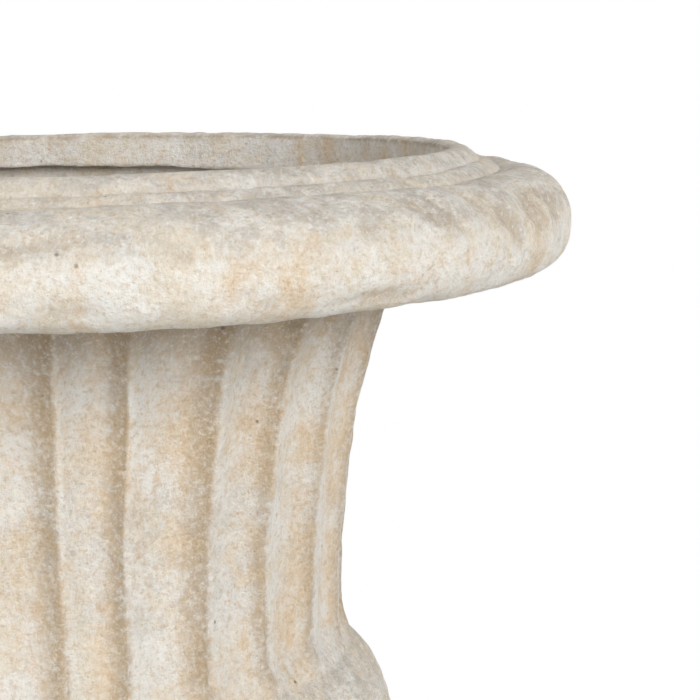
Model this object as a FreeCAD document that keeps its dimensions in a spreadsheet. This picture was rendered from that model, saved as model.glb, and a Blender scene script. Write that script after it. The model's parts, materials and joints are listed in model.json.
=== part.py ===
import FreeCAD, Part
import math
import os
import Sketcher
from FreeCAD import Vector

# Fluted campana urn planter, cast in stone in three pieces that are stacked on a square plinth
# and drawn together by one hollow tie tube, which is the drain as well.
# Origin: centre of the underside, on the ground. +Z is up, -Y is the front. Millimetres, degrees.

SIZES = {
    # rubber pads and the square plinth
    "pad_stand": 4.0,
    "pad_depth": 5.0,
    "pad_radius": 22.0,
    "pad_inset": 38.0,
    "pad_gap": 0.25,
    "plinth_width": 380.0,
    "plinth_height": 60.0,
    "plinth_edge": 5.0,
    "clamp_recess_radius": 48.0,
    "clamp_recess_depth": 36.0,
    # round socle, with a torus foot, a scotia, a waist and a bead under the bowl
    "socle_radius": 165.0,
    "socle_torus": 30.0,
    "socle_step": 22.0,
    "socle_step_height": 8.0,
    "socle_height": 105.0,
    "socle_waist_radius": 68.0,
    "socle_waist_height": 74.0,
    "socle_bead_radius": 92.0,
    "socle_bead_height": 22.0,
    # bedding layers between the castings
    "lower_bedding": 3.0,
    "upper_bedding": 4.0,
    "bedding_margin": 6.0,
    # outside of the bowl, with heights above its own seat
    "belly_radius": 229.0,
    "belly_height": 120.0,
    "shoulder_radius": 197.5,
    "shoulder_height": 196.5,
    "waist_radius": 191.5,
    "waist_height": 222.0,
    "flare_radius": 217.0,
    "flare_depth": 56.0,
    "flare_curve": 166.0,
    "neck_top_radius": 244.0,
    "soffit_height": 463.0,
    # mouldings of the rim: the big roll, a small bead and an inner bead, each a rise above the last
    "rim_radius": 350.0,
    "rim_underside": 27.0,
    "rim_side": 5.0,
    "roll_rise": 28.9,
    "outer_crease_inset": 50.4,
    "outer_bead": 7.4,
    "outer_bead_rise": 6.3,
    "inner_crease_inset": 63.3,
    "inner_bead": 11.5,
    "inner_bead_rise": 9.8,
    "mouth_inset": 82.6,
    # inside of the bowl
    "lip_height": 21.0,
    "undercut_depth": 14.6,
    "undercut_height": 24.0,
    "funnel_drop": 19.0,
    "throat_radius": 200.0,
    "throat_drop": 23.0,
    "wall": 30.0,
    "floor_thickness": 32.0,
    "floor_fall": 4.0,
    # fluting of the neck and valleys between the lobes of the belly
    "flute_count": 24,
    "flute_section": 40.0,
    "flute_depth": 7.6,
    "flute_top_depth": 11.0,
    "flute_top_margin": 16.0,
    "flute_foot": 6.0,
    "valley_section": 9.0,
    "valley_depth": 7.0,
    "valley_foot_angle": 93.0,
    # steel hoop cast into the rim
    "hoop_inset": 32.0,
    "hoop_section": 5.0,
    # tie tube, collar, clamp and their fits
    "tube_radius": 13.0,
    "tube_bore": 9.5,
    "tube_gap": 3.0,
    "tube_setback": 1.0,
    "tube_below": 3.0,
    "thread_fit": 0.0,
    "collar_radius": 33.0,
    "collar_flange": 5.0,
    "collar_barrel_radius": 19.0,
    "collar_length": 23.0,
    "collar_gap": 1.0,
    "recess_gap": 2.0,
    "collar_washer_thickness": 3.0,
    "collar_washer_gap": 1.0,
    "clamp_washer_thickness": 3.0,
    "plate_gap": 1.0,
    "plate_radius": 42.0,
    "plate_thickness": 5.0,
    "nut_flats": 41.0,
    "nut_height": 12.0,
    "lock_nut_height": 8.0,
    # locating dowels
    "upper_dowel_radius": 5.0,
    "upper_dowel_circle": 42.0,
    "upper_dowel_depth": 18.0,
    "upper_dowel_count": 3,
    "lower_dowel_radius": 6.0,
    "lower_dowel_circle": 105.0,
    "lower_dowel_depth": 22.0,
    "lower_dowel_count": 4,
    "dowel_gap": 0.25,
    # rubber drain plug
    "plug_fit": 0.08,
    "plug_shank": 22.0,
    "plug_taper": 0.8,
    "plug_flange_radius": 15.0,
    "plug_flange": 3.0,
    "plug_stem_radius": 4.5,
    "plug_stem": 9.0,
    "plug_knob_radius": 8.0,
    "plug_knob": 6.0,
}

document = FreeCAD.newDocument("urn_planter")
sheet = document.addObject("Spreadsheet::Sheet", "Sizes")
for row, (alias, number) in enumerate(SIZES.items(), start=1):
    sheet.set(f"A{row}", alias)
    sheet.set(f"B{row}", str(number))
    sheet.setAlias(f"B{row}", alias)
document.recompute()


class Size:
    """A length that carries its number and the formula that binds it to the sheet."""

    def __init__(self, number, words):
        self.number = float(number)
        self.words = words

    def __add__(self, other):
        other = as_size(other)
        return Size(self.number + other.number, f"({self.words} + {other.words})")

    def __sub__(self, other):
        other = as_size(other)
        return Size(self.number - other.number, f"({self.words} - {other.words})")

    def __mul__(self, other):
        other = as_size(other)
        return Size(self.number * other.number, f"({self.words} * {other.words})")

    def __truediv__(self, other):
        other = as_size(other)
        return Size(self.number / other.number, f"({self.words} / {other.words})")


def as_size(value):
    """A bare number as a Size, so that it can stand in a formula."""
    return value if isinstance(value, Size) else Size(value, str(value))


def size(alias):
    """The Size of one named cell."""
    return Size(SIZES[alias], f"Sizes.{alias}")


def angle_of(rise, run):
    """The angle above the horizontal of a slope, in degrees."""
    rise, run = as_size(rise), as_size(run)
    number = math.degrees(math.atan2(rise.number, run.number))
    return Size(number, f"atan2({rise.words}; {run.words})")


def upright_arc(wide, narrow, rise):
    """Radius of an arc that is upright at one end, its ends at two radii and a rise apart."""
    reach = wide - narrow
    return (reach * reach + rise * rise) / (reach * 2)


def bind(feature, **formulas):
    """Bind properties of a feature to the sheet; a double underscore stands for a dot."""
    for name, formula in formulas.items():
        feature.setExpression(name.replace("__", "."), as_size(formula).words)


ZERO = as_size(0)
FULL_TURN = 360
CORNERS_OF_SQUARE = 4
SIDES_OF_NUT = 6


def body(label, height=ZERO):
    """A new body whose own z = 0 stands at the given height above the ground."""
    piece = document.addObject("PartDesign::Body", label)
    piece.Label = label
    bind(piece, Placement__Base__z=height)
    return piece


def origin_feature(piece, role):
    """One of the body's own planes or axes."""
    return next(item for item in piece.Origin.OriginFeatures if item.Role == role)


def sketch_on(piece, name, plane="XZ_Plane", offset=ZERO):
    """An empty sketch on an origin plane of the body, moved along the plane's normal."""
    sketch = piece.newObject("Sketcher::SketchObject", f"{piece.Name}_{name}")
    sketch.AttachmentSupport = [(origin_feature(piece, plane), "")]
    sketch.MapMode = "FlatFace"
    bind(sketch, AttachmentOffset__Base__z=offset)
    return sketch


def fix_point(sketch, geometry, point, across, up):
    """Hold a point of a sketch at two formulas, measured from the sketch's origin."""
    for kind, axis, value in (("DistanceX", -2, as_size(across)), ("DistanceY", -1, as_size(up))):
        if value.number == 0:
            sketch.addConstraint(Sketcher.Constraint("PointOnObject", geometry, point, axis))
            continue
        index = sketch.addConstraint(
            Sketcher.Constraint(kind, -1, 1, geometry, point, value.number))
        sketch.setExpression(f"Constraints[{index}]", value.words)


def circle(sketch, across, up, radius):
    """A circle with its centre and its radius bound to the sheet."""
    across, up, radius = as_size(across), as_size(up), as_size(radius)
    centre = Vector(across.number, up.number, 0)
    geometry = sketch.addGeometry(Part.Circle(centre, Vector(0, 0, 1), radius.number))
    fix_point(sketch, geometry, 3, across, up)
    index = sketch.addConstraint(Sketcher.Constraint("Radius", geometry, radius.number))
    sketch.setExpression(f"Constraints[{index}]", radius.words)


def arc_through(start, end, radius, left):
    """The shorter arc between two points, bulging to the left or the right of the way it runs."""
    chord = end - start
    half = chord.Length / 2
    normal = Vector(-chord.y, chord.x, 0).normalize()
    side = 1 if left else -1
    rise = math.sqrt(max(radius * radius - half * half, 0))
    centre = (start + end) / 2 - normal * side * rise
    middle = centre + normal * side * radius
    if left:
        start, end = end, start
    return Part.Arc(start, middle, end)


def outline(sketch, path):
    """A closed outline of lines and arcs, every corner of it bound to the sheet.

    Each step of the path is (across, up) for a line, or (across, up, "left" or "right", radius)
    for an arc that bulges to that side of the way it runs.
    """
    corners = [(as_size(step[0]), as_size(step[1])) for step in path]
    points = [Vector(across.number, up.number, 0) for across, up in corners]
    edges = []
    for index, step in enumerate(path):
        start, end = points[index - 1], points[index]
        if len(step) == 2:
            edges.append(sketch.addGeometry(Part.LineSegment(start, end)))
            continue
        radius = as_size(step[3])
        arc = arc_through(start, end, radius.number, step[2] == "left")
        geometry = sketch.addGeometry(arc)
        edges.append(geometry)
        held = sketch.addConstraint(Sketcher.Constraint("Radius", geometry, radius.number))
        sketch.setExpression(f"Constraints[{held}]", radius.words)
    ends = []
    for index, geometry in enumerate(edges):
        drawn_from = sketch.Geometry[geometry].StartPoint
        forward = drawn_from.distanceToPoint(points[index - 1]) < 1e-6
        ends.append((1, 2) if forward else (2, 1))
    for index, geometry in enumerate(edges):
        following = (index + 1) % len(edges)
        sketch.addConstraint(Sketcher.Constraint(
            "Coincident", geometry, ends[index][1], edges[following], ends[following][0]))
        fix_point(sketch, geometry, ends[index][1], *corners[index])


def revolved(piece, name, path):
    """A solid turned about the body's upright axis."""
    sketch = sketch_on(piece, name)
    outline(sketch, path)
    turned = piece.newObject("PartDesign::Revolution", f"{piece.Name}_{name}_turned")
    turned.Profile = sketch
    turned.ReferenceAxis = (sketch, ["V_Axis"])
    turned.Angle = FULL_TURN
    return turned


def polar(piece, feature, count):
    """Copies of a feature in a full circle about the body's upright axis."""
    pattern = piece.newObject("PartDesign::PolarPattern", f"{feature.Name}_pattern")
    pattern.Originals = [feature]
    pattern.Axis = (origin_feature(piece, "Z_Axis"), [""])
    pattern.Angle = FULL_TURN
    bind(pattern, Occurrences=count)
    piece.Tip = pattern


def bored(piece, name, radius, top, depth, across=0, up=0):
    """A round hole that runs down from a height."""
    sketch = sketch_on(piece, name, "XY_Plane", top)
    circle(sketch, across, up, radius)
    hole = piece.newObject("PartDesign::Pocket", f"{piece.Name}_{name}_hole")
    hole.Profile = sketch
    bind(hole, Length=depth)
    return hole


def hexagon(sketch, flats):
    """A regular hexagon about the origin, held by its width across flats."""
    corner = flats.number / math.sqrt(3)
    turns = [math.tau * index / SIDES_OF_NUT for index in range(SIDES_OF_NUT)]
    corners = [Vector(corner * math.cos(turn), corner * math.sin(turn), 0) for turn in turns]
    sides = [sketch.addGeometry(Part.LineSegment(corners[index - 1], corners[index]))
             for index in range(SIDES_OF_NUT)]
    ring = sketch.addGeometry(Part.Circle(Vector(), Vector(0, 0, 1), corner), True)
    sketch.addConstraint(Sketcher.Constraint("Coincident", ring, 3, -1, 1))
    for index, side in enumerate(sides):
        following = sides[(index + 1) % SIDES_OF_NUT]
        sketch.addConstraint(Sketcher.Constraint("Coincident", side, 2, following, 1))
        sketch.addConstraint(Sketcher.Constraint("PointOnObject", side, 2, ring))
        if index:
            sketch.addConstraint(Sketcher.Constraint("Equal", sides[0], side))
    sketch.addConstraint(Sketcher.Constraint("PointOnObject", sides[0], 2, -1))
    held = sketch.addConstraint(Sketcher.Constraint("Radius", ring, corner))
    sketch.setExpression(f"Constraints[{held}]", f"{flats.words} / sqrt(3)")


# Heights of the stack above the ground.
plinth_foot = size("pad_stand")
plinth_top = plinth_foot + size("plinth_height")
socle_foot = plinth_top + size("lower_bedding")
socle_top = socle_foot + size("socle_height")
bowl_seat = socle_top + size("upper_bedding")

bore = size("tube_radius") + size("tube_gap")
upper_dowel_hole = size("upper_dowel_radius") + size("dowel_gap")
lower_dowel_hole = size("lower_dowel_radius") + size("dowel_gap")

# Inside floor of the bowl, and the recess in it where the drain collar sits.
floor_level = size("floor_thickness") - size("floor_fall")
collar_recess = size("collar_radius") + size("recess_gap")
recess_level = floor_level - size("collar_flange") - size("collar_washer_thickness")
barrel_bore = size("collar_barrel_radius") + size("collar_gap")

# The belly's underside and the corner round the floor are quarter circles.
seat_radius = size("belly_radius") - size("belly_height")
floor_corner = size("belly_height") - size("floor_thickness")
floor_radius = size("belly_radius") - size("wall") - floor_corner

# Outside corners of the bowl's neck and rim.
flare_start = size("soffit_height") - size("flare_depth")
rim_turn = size("soffit_height") + size("rim_underside")
rim_belly = rim_turn + size("rim_side")
outer_crease = rim_belly + size("roll_rise")
inner_crease = outer_crease + size("outer_bead_rise")
mouth_height = inner_crease + size("inner_bead_rise")
soffit_edge = size("rim_radius") - size("rim_underside")
outer_crease_radius = size("rim_radius") - size("outer_crease_inset")
inner_crease_radius = size("rim_radius") - size("inner_crease_inset")
mouth_radius = size("rim_radius") - size("mouth_inset")
hoop_radius = size("rim_radius") - size("hoop_inset")

# Inside corners of the bowl.
lip_foot = mouth_height - size("lip_height")
undercut_foot = lip_foot - size("undercut_height")
undercut_radius = mouth_radius + size("undercut_depth")
throat_height = size("soffit_height") - size("throat_drop")
inside_belly = size("belly_radius") - size("wall")
inside_waist = size("waist_radius") - size("wall")


def half_round(widest, foot, height):
    """The two quarter arcs of a rounded edge that runs up from foot."""
    curve = height / 2
    return [
        (widest, foot + curve, "right", curve),
        (widest - curve, foot + height, "right", curve),
    ]


def bowl():
    """The bowl casting: rolled rim, fluted neck and lobed belly, hollow, with a drain bore."""
    piece = body("bowl", bowl_seat)
    belly_rise = size("shoulder_height") - size("belly_height")
    neck_rise = flare_start - size("waist_height")
    inside_rise = throat_height - size("waist_height")
    path = [
        (barrel_bore, ZERO),
        (seat_radius, ZERO),
        (size("belly_radius"), size("belly_height"), "right", size("belly_height")),
        (size("shoulder_radius"), size("shoulder_height"), "right",
         upright_arc(size("belly_radius"), size("shoulder_radius"), belly_rise)),
        (size("waist_radius"), size("waist_height")),
        (size("flare_radius"), flare_start, "left",
         upright_arc(size("flare_radius"), size("waist_radius"), neck_rise)),
        (size("neck_top_radius"), size("soffit_height"), "left", size("flare_curve")),
        (soffit_edge, size("soffit_height")),
        (size("rim_radius"), rim_turn, "right", size("rim_underside")),
        (size("rim_radius"), rim_belly),
        (outer_crease_radius, outer_crease, "right",
         upright_arc(size("rim_radius"), outer_crease_radius, size("roll_rise"))),
        (inner_crease_radius, inner_crease, "right", size("outer_bead")),
        (mouth_radius, mouth_height, "right", size("inner_bead")),
        (mouth_radius, lip_foot),
        (undercut_radius, lip_foot),
        (undercut_radius, undercut_foot),
        (size("throat_radius"), undercut_foot - size("funnel_drop")),
        (size("throat_radius"), throat_height),
        (inside_waist, size("waist_height"), "right",
         upright_arc(size("throat_radius"), inside_waist, inside_rise)),
        (inside_belly, size("belly_height"), "left",
         upright_arc(inside_belly, inside_waist, size("waist_height") - size("belly_height"))),
        (floor_radius, size("floor_thickness"), "left", floor_corner),
        (collar_recess, floor_level),
        (collar_recess, recess_level),
        (barrel_bore, recess_level),
    ]
    revolved(piece, "profile", path)
    document.recompute()
    bed = sketch_on(piece, "hoop_bed")
    circle(bed, hoop_radius, rim_turn, size("hoop_section"))
    hollow = piece.newObject("PartDesign::Groove", "bowl_hoop_bed_groove")
    hollow.Profile = bed
    hollow.ReferenceAxis = (bed, ["V_Axis"])
    hollow.Angle = FULL_TURN
    cut_flutes(piece)
    cut_valleys(piece)
    dowel = bored(piece, "dowel", upper_dowel_hole, ZERO, size("upper_dowel_depth"),
                  size("upper_dowel_circle"), 0)
    dowel.Reversed = True
    polar(piece, dowel, size("upper_dowel_count"))
    return piece


def cut_ring(piece, name, pivot, height, reach, section, up, down, turn):
    """A bent groove: a round section swung up and down about a level line beside the bowl."""
    sketch = sketch_on(piece, name, "XY_Plane", height)
    bind(sketch, AttachmentOffset__Rotation__Angle=turn)
    circle(sketch, reach, 0, section)
    half = section.number
    line = sketch.addGeometry(
        Part.LineSegment(Vector(pivot.number, -half, 0), Vector(pivot.number, half, 0)), True)
    sketch.addConstraint(Sketcher.Constraint("Vertical", line))
    fix_point(sketch, line, 1, pivot, ZERO - section)
    length = sketch.addConstraint(Sketcher.Constraint("DistanceY", line, 1, line, 2, 2 * half))
    sketch.setExpression(f"Constraints[{length}]", (section * 2).words)
    groove = piece.newObject("PartDesign::Groove", f"{piece.Name}_{name}_groove")
    groove.Profile = sketch
    groove.ReferenceAxis = (sketch, ["Axis0"])
    groove.Type = "TwoAngles"
    bind(groove, Angle=up, Angle2=down)
    return groove


def cut_flutes(piece):
    """Hollow flutes round the neck, deeper where the neck flares."""
    section = size("flute_section")
    foot_reach = size("waist_radius") + section - size("flute_depth")
    top_reach = size("neck_top_radius") + section - size("flute_top_depth")
    rise = size("soffit_height") - size("waist_height")
    pivot = foot_reach + upright_arc(top_reach, foot_reach, rise)
    up = angle_of(rise - size("flute_top_margin"), pivot - top_reach)
    down = angle_of(size("waist_height") - size("shoulder_height") - size("flute_foot"),
                    pivot - foot_reach)
    half_pitch = as_size(FULL_TURN / 2) / size("flute_count")
    groove = cut_ring(piece, "flute", pivot, size("waist_height"), foot_reach, section, up, down,
                      half_pitch)
    polar(piece, groove, size("flute_count"))


def cut_valleys(piece):
    """Narrow valleys that part the belly into lobes, in line with the ridges of the neck."""
    section = size("valley_section")
    rise = size("shoulder_height") - size("belly_height")
    pivot = size("belly_radius") - upright_arc(size("belly_radius"), size("shoulder_radius"), rise)
    reach = size("belly_radius") + section - size("valley_depth")
    up = angle_of(rise, size("shoulder_radius") - pivot)
    groove = cut_ring(piece, "valley", pivot, size("belly_height"), reach, section,
                      size("valley_foot_angle"), up, ZERO)
    polar(piece, groove, size("flute_count"))


def socle():
    """The round socle casting between the bowl and the plinth."""
    piece = body("socle", socle_foot)
    torus = size("socle_torus") / 2
    bead_foot = size("socle_height") - size("socle_bead_height")
    step_radius = size("socle_radius") - size("socle_step")
    step_top = size("socle_torus") + size("socle_step_height")
    bead = size("socle_bead_height") / 2
    scotia_rise = size("socle_waist_height") - step_top
    scotia_reach = step_radius - size("socle_waist_radius")
    scotia = (scotia_reach * scotia_reach + scotia_rise * scotia_rise) / (scotia_rise * 2)
    path = [
        (bore, ZERO),
        (size("socle_radius") - torus, ZERO),
        *half_round(size("socle_radius"), ZERO, size("socle_torus")),
        (step_radius, size("socle_torus")),
        (step_radius, step_top),
        (size("socle_waist_radius"), size("socle_waist_height"), "left", scotia),
        (size("socle_waist_radius"), bead_foot),
        (size("socle_bead_radius") - bead, bead_foot),
        *half_round(size("socle_bead_radius"), bead_foot, size("socle_bead_height")),
        (bore, size("socle_height")),
    ]
    revolved(piece, "profile", path)
    document.recompute()
    top_hole = bored(piece, "top_dowel", upper_dowel_hole, size("socle_height"),
                     size("upper_dowel_depth"), size("upper_dowel_circle"), 0)
    polar(piece, top_hole, size("upper_dowel_count"))
    low_hole = bored(piece, "low_dowel", lower_dowel_hole, ZERO, size("lower_dowel_depth"),
                     size("lower_dowel_circle"), 0)
    low_hole.Reversed = True
    polar(piece, low_hole, size("lower_dowel_count"))
    return piece


def square(sketch, width):
    """A square about the sketch's origin."""
    half = width / 2
    minus = ZERO - half
    outline(sketch, [(minus, minus), (half, minus), (half, half), (minus, half)])


def plinth():
    """The square plinth casting, with a clamp recess and four pad recesses underneath."""
    piece = body("plinth", plinth_foot)
    sketch = sketch_on(piece, "plan", "XY_Plane")
    square(sketch, size("plinth_width"))
    slab = piece.newObject("PartDesign::Pad", "plinth_slab")
    slab.Profile = sketch
    bind(slab, Length=size("plinth_height"))
    document.recompute()
    worn = piece.newObject("PartDesign::Fillet", "plinth_worn_edges")
    outer_edges = [f"Edge{number}" for number in range(1, len(slab.Shape.Edges) + 1)]
    worn.Base = (slab, outer_edges)
    bind(worn, Radius=size("plinth_edge"))
    document.recompute()
    through = bored(piece, "bore", bore, size("plinth_height"), size("plinth_height"))
    piece.Tip = through
    recess = bored(piece, "clamp", size("clamp_recess_radius"), ZERO, size("clamp_recess_depth"))
    recess.Reversed = True
    pad_centre = size("plinth_width") / 2 - size("pad_inset")
    pad_recess = bored(piece, "pad", size("pad_radius") + size("pad_gap"), ZERO,
                       size("pad_depth"), pad_centre, pad_centre)
    pad_recess.Reversed = True
    polar(piece, pad_recess, CORNERS_OF_SQUARE)
    dowel = bored(piece, "dowel", lower_dowel_hole, size("plinth_height"),
                  size("lower_dowel_depth"), size("lower_dowel_circle"), 0)
    polar(piece, dowel, size("lower_dowel_count"))
    return piece


def turned_piece(label, height, path):
    """A body that is one turned solid."""
    piece = body(label, height)
    revolved(piece, "profile", path)
    return piece


def ring(label, height, inside, outside, thickness):
    """A flat ring."""
    return turned_piece(label, height, [
        (inside, ZERO), (outside, ZERO), (outside, thickness), (inside, thickness)])


def bedding(label, height, inside, outside, thickness, hole, hole_circle, count):
    """A bedding layer, cast round the dowels that pass through it."""
    piece = ring(label, height, inside, outside, thickness)
    document.recompute()
    dowel = bored(piece, "dowel", hole, thickness, thickness, hole_circle, 0)
    polar(piece, dowel, count)
    return piece


def dowels(label, height, radius, length, pin_circle, count):
    """A set of round steel pins that stand on one circle."""
    piece = body(label, height)
    sketch = sketch_on(piece, "pin", "XY_Plane")
    circle(sketch, pin_circle, 0, radius)
    pin = piece.newObject("PartDesign::Pad", f"{label}_pin")
    pin.Profile = sketch
    bind(pin, Length=length)
    piece.AllowCompound = True
    polar(piece, pin, count)
    return piece


def hex_nut(label, height, thickness):
    """A hexagon nut on the tie tube."""
    piece = body(label, height)
    sketch = sketch_on(piece, "plan", "XY_Plane")
    hexagon(sketch, size("nut_flats"))
    blank = piece.newObject("PartDesign::Pad", f"{label}_blank")
    blank.Profile = sketch
    bind(blank, Length=thickness)
    document.recompute()
    bored(piece, "thread", size("tube_radius") + size("thread_fit"), thickness, thickness)
    return piece


def rim_hoop():
    """The steel hoop that is cast into the rim roll."""
    hoop = document.addObject("Part::Torus", "rim_hoop")
    hoop.Label = "rim_hoop"
    bind(hoop, Radius1=hoop_radius, Radius2=size("hoop_section"),
         Placement__Base__z=bowl_seat + rim_turn)
    return hoop


def drain_collar(level):
    """The flanged collar that holds the tie tube in the floor of the bowl."""
    flange_foot = size("collar_length") - size("collar_flange")
    inside = size("tube_radius") + size("thread_fit")
    return turned_piece("drain_collar", level - flange_foot, [
        (inside, ZERO),
        (size("collar_barrel_radius"), ZERO),
        (size("collar_barrel_radius"), flange_foot),
        (size("collar_radius"), flange_foot),
        (size("collar_radius"), size("collar_length")),
        (inside, size("collar_length")),
    ])


def drain_plug(seat_level):
    """The rubber plug: tapered shank in the tube, flange on the collar, knob to lift it by."""
    shank_top = size("tube_bore") - size("plug_fit")
    shank_end = shank_top - size("plug_taper")
    flange_foot = size("plug_shank")
    flange_top = flange_foot + size("plug_flange")
    stem_top = flange_top + size("plug_stem")
    knob_edge = size("plug_knob_radius") - size("plug_knob") / 2
    knob_top = stem_top + size("plug_knob")
    return turned_piece("drain_plug", seat_level - flange_foot, [
        (ZERO, ZERO),
        (shank_end, ZERO),
        (shank_top, flange_foot),
        (size("plug_flange_radius"), flange_foot),
        (size("plug_flange_radius"), flange_top),
        (size("plug_stem_radius"), flange_top),
        (size("plug_stem_radius"), stem_top),
        (knob_edge, stem_top),
        *half_round(size("plug_knob_radius"), stem_top, size("plug_knob")),
        (ZERO, knob_top),
    ])


def foot_pads():
    """Four rubber pads that keep the plinth off the ground, so that the drain can run out."""
    centre = size("plinth_width") / 2 - size("pad_inset")
    corners = {
        "pad_front_left": (-1, -1),
        "pad_front_right": (1, -1),
        "pad_rear_right": (1, 1),
        "pad_rear_left": (-1, 1),
    }
    pads = []
    for label, (side, depth) in corners.items():
        pad = document.addObject("Part::Cylinder", label)
        pad.Label = label
        bind(pad, Radius=size("pad_radius"), Height=size("pad_stand") + size("pad_depth"),
             Placement__Base__x=centre * side, Placement__Base__y=centre * depth)
        pads.append(pad)
    return pads


def build():
    """Every piece of the urn, from the ground up."""
    collar_level = bowl_seat + recess_level + size("collar_washer_thickness")
    collar_top = collar_level + size("collar_flange")
    clamp_top = plinth_foot + size("clamp_recess_depth")
    clamp_washer_level = clamp_top - size("clamp_washer_thickness")
    plate_level = clamp_washer_level - size("plate_thickness")
    nut_level = plate_level - size("nut_height")
    lock_level = nut_level - size("lock_nut_height")
    tube_foot = lock_level - size("tube_below")
    tube_top = collar_top - size("tube_setback")
    plate_hole = size("tube_radius") + size("plate_gap")
    pieces = foot_pads()
    pieces += [plinth(), socle(), bowl(), rim_hoop()]
    pieces.append(bedding(
        "socle_bedding", plinth_top, bore,
        size("socle_radius") - size("socle_torus") / 2 - size("bedding_margin"),
        size("lower_bedding"), lower_dowel_hole, size("lower_dowel_circle"),
        size("lower_dowel_count")))
    pieces.append(bedding(
        "bowl_bedding", socle_top, barrel_bore,
        size("socle_bead_radius") - size("socle_bead_height") / 2,
        size("upper_bedding"), upper_dowel_hole, size("upper_dowel_circle"),
        size("upper_dowel_count")))
    pieces.append(dowels(
        "lower_dowels", plinth_top - size("lower_dowel_depth"), size("lower_dowel_radius"),
        size("lower_dowel_depth") * 2 + size("lower_bedding"), size("lower_dowel_circle"),
        size("lower_dowel_count")))
    pieces.append(dowels(
        "upper_dowels", socle_top - size("upper_dowel_depth"), size("upper_dowel_radius"),
        size("upper_dowel_depth") * 2 + size("upper_bedding"), size("upper_dowel_circle"),
        size("upper_dowel_count")))
    pieces.append(ring("tie_tube", tube_foot, size("tube_bore"), size("tube_radius"),
                       tube_top - tube_foot))
    pieces.append(ring("collar_washer", bowl_seat + recess_level,
                       size("collar_barrel_radius") + size("collar_washer_gap"),
                       size("collar_radius"), size("collar_washer_thickness")))
    pieces.append(drain_collar(collar_level))
    pieces.append(ring("clamp_washer", clamp_washer_level, plate_hole, size("plate_radius"),
                       size("clamp_washer_thickness")))
    pieces.append(ring("clamp_plate", plate_level, plate_hole, size("plate_radius"),
                       size("plate_thickness")))
    pieces.append(hex_nut("clamp_nut", nut_level, size("nut_height")))
    pieces.append(hex_nut("lock_nut", lock_level, size("lock_nut_height")))
    pieces.append(drain_plug(collar_top))
    return pieces


pieces = build()
document.recompute()

for item in document.Objects:
    troubles = [state for state in item.State if state in ("Invalid", "Error")]
    if troubles:
        raise RuntimeError(f"{item.Label} did not build: {troubles}")
for piece in pieces:
    shape = piece.Shape
    if shape.isNull() or not shape.isValid():
        raise RuntimeError(f"{piece.Label} has no valid shape")
    print(f"{piece.Label}: {len(shape.Solids)} solid, {shape.Volume / 1000:.1f} cm3")

os.makedirs("parts", exist_ok=True)
for piece in pieces:
    piece.Shape.exportStep(f"parts/{piece.Label}.step")
print(f"{len(pieces)} nodes written")
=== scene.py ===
import itertools
import json
import math

import bmesh
import bpy
import numpy as np
from mathutils import Matrix, Vector

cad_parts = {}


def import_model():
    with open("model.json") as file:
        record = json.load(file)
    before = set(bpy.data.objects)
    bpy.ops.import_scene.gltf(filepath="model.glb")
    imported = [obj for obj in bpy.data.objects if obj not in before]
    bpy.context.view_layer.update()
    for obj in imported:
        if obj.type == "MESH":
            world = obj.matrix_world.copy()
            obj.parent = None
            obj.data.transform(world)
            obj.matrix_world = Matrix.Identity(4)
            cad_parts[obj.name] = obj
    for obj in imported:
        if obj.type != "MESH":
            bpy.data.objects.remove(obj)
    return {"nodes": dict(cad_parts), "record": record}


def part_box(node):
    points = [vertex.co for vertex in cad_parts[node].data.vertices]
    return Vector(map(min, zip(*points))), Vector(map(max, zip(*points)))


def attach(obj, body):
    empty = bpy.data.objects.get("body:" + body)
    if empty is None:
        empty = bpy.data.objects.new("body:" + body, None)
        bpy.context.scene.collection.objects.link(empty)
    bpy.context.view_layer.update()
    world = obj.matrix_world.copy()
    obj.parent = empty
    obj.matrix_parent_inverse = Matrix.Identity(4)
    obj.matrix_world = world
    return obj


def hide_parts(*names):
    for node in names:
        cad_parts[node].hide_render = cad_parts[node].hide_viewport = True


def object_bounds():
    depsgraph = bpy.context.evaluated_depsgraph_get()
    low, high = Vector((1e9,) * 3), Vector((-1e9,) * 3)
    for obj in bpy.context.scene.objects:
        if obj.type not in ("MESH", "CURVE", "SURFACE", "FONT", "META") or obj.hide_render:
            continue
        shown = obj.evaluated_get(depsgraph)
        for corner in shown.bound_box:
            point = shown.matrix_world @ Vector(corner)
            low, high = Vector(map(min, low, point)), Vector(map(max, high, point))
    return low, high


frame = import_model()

cad_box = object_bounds()

# ---------------------------------------------------------------------------
# Sizes
# ---------------------------------------------------------------------------

MM = 0.001

# Where the solids of the frame stand, in metres.
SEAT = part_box("bowl_bedding")[1].z
PLINTH_LOW, PLINTH_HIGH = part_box("plinth")
SOCLE_LOW, SOCLE_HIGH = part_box("socle")

# Corners of the bowl's section in millimetres: radius, and height above the seat.
MOUTH_EDGE = (267.4, 540)
INNER_CREASE = (286.7, 530.2)
OUTER_CREASE = (299.6, 523.9)
ROLL_SIDE = (350, 495)
UNDERCUT = (282, 495)
FUNNEL_EDGE = (203, 476.7)
FLARE = (244, 463)
NECK_TOP = (217, 407)
WAIST = (191.5, 222)
SHOULDER = (197.5, 196.5)
BELLY = (229, 120)
DRAIN_SEAT = (35, 20)

# Its other sizes in millimetres: heights above the seat, rounds, wall and bore.
LIP_FOOT = 519
SOFFIT = 463
FLOOR = 32
FLOOR_FALL = 4
ROLL_FOOT_ROUND = 27
OUTER_BEAD_ROUND = 7.4
INNER_BEAD_ROUND = 11.5
FLARE_ROUND = 166
WALL = 30
BOWL_BORE = 20
INSIDE_NECK = (200, 440)
INSIDE_WAIST = (WAIST[0] - WALL, WAIST[1])
INSIDE_BELLY = (BELLY[0] - WALL, BELLY[1])

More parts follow.
